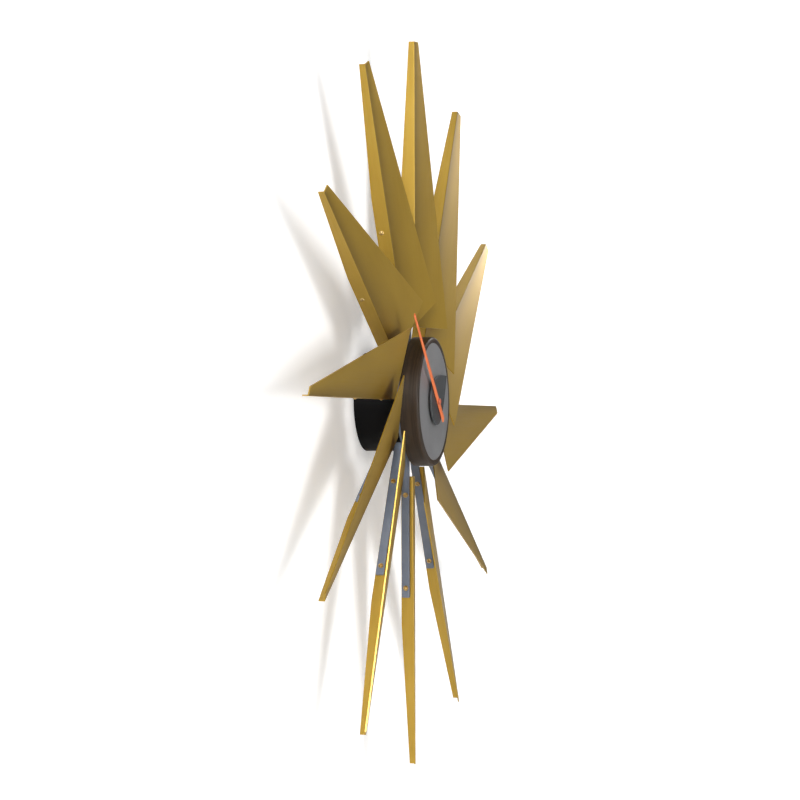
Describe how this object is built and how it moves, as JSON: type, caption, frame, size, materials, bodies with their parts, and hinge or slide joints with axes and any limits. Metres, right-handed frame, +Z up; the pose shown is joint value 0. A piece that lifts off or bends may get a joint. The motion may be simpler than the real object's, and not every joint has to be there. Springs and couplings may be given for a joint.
{
  "type": "sunburst wall clock",
  "caption": "Sunburst wall clock with folded brass blades on slate arms, a walnut ring, plain metal dial, teardrop hour hand and slim orange minute hand.",
  "frame": {"origin": "centre of the clock's rear face, where it lies on the wall", "axes": "+Z up, -Y out of the wall towards the room, X to the right as seen by someone facing the clock"},
  "size_m": [0.762, 0.0807, 0.762],
  "materials": {
    "blade_brass": "satin brushed brass",
    "fastener_brass": "polished brass",
    "arm_paint": "satin slate-grey paint",
    "black_paint": "satin black paint",
    "walnut": "oiled walnut, satin",
    "dial_aluminium": "fine satin",
    "hour_paint": "satin dark slate paint",
    "minute_paint": "satin coral-orange paint",
    "cap_paint": "satin darker orange paint",
    "steel": "plain bright steel",
    "black_plastic": "matt moulded",
    "gear_plastic": "natural acetal",
    "rubber": "matt",
    "battery_jacket": "plain wrapped cell",
    "board": "plain green laminate",
    "coil_wire": "enamelled copper wire"
  },
  "bodies": {
    "frame": {"blade_01": "blade_brass", "blade_02": "blade_brass", "blade_03": "blade_brass", "blade_04": "blade_brass", "blade_05": "blade_brass", "blade_06": "blade_brass", "blade_07": "blade_brass", "blade_08": "blade_brass", "blade_09": "blade_brass", "blade_10": "blade_brass", "blade_11": "blade_brass", "blade_12": "blade_brass", "arm_01": "arm_paint", "arm_02": "arm_paint", "arm_03": "arm_paint", "arm_04": "arm_paint", "arm_05": "arm_paint", "arm_06": "arm_paint", "arm_07": "arm_paint", "arm_08": "arm_paint", "arm_09": "arm_paint", "arm_10": "arm_paint", "arm_11": "arm_paint", "arm_12": "arm_paint", "blade_rivets": "fastener_brass", "rivet_collars": "fastener_brass", "rear_housing": "black_paint", "rear_cover": "black_paint", "cover_screws": "steel", "hub_screws": "steel", "hub_plate": "arm_paint", "spacer_ring": "arm_paint", "walnut_ring": "walnut", "dial_plate": "dial_aluminium", "movement_case_front": "black_plastic", "movement_case_back": "black_plastic", "dial_nut": "fastener_brass", "dial_washer": "rubber", "battery": "battery_jacket", "battery_contacts": "steel", "circuit_board": "board", "motor_coil": "coil_wire", "motor_module": "black_plastic"},
    "minute": {"minute_arbor": "steel", "minute_hand": "minute_paint", "minute_cap": "cap_paint"},
    "hour": {"hour_wheel": "gear_plastic", "hour_hand": "hour_paint"},
    "setting": {"intermediate_wheel": "gear_plastic", "setting_knob": "black_plastic"}
  },
  "joints": [
    {"name": "minute_turn", "type": "hinge", "parent": "frame", "child": "minute", "pos_m": [0, -0.075, 0], "axis": [0, 1, 0], "continuous": true},
    {"name": "hour_turn", "type": "hinge", "parent": "frame", "child": "hour", "pos_m": [0, -0.07, 0], "axis": [0, 1, 0], "continuous": true},
    {"name": "setting_turn", "type": "hinge", "parent": "frame", "child": "setting", "pos_m": [-0.00849, -0.06, 0.00849], "axis": [0, 1, 0], "continuous": true}
  ],
  "couplings": [
    {"joint": "hour_turn", "follows": "minute_turn", "ratio": 0.083333},
    {"joint": "setting_turn", "follows": "minute_turn", "ratio": -0.33333}
  ]
}
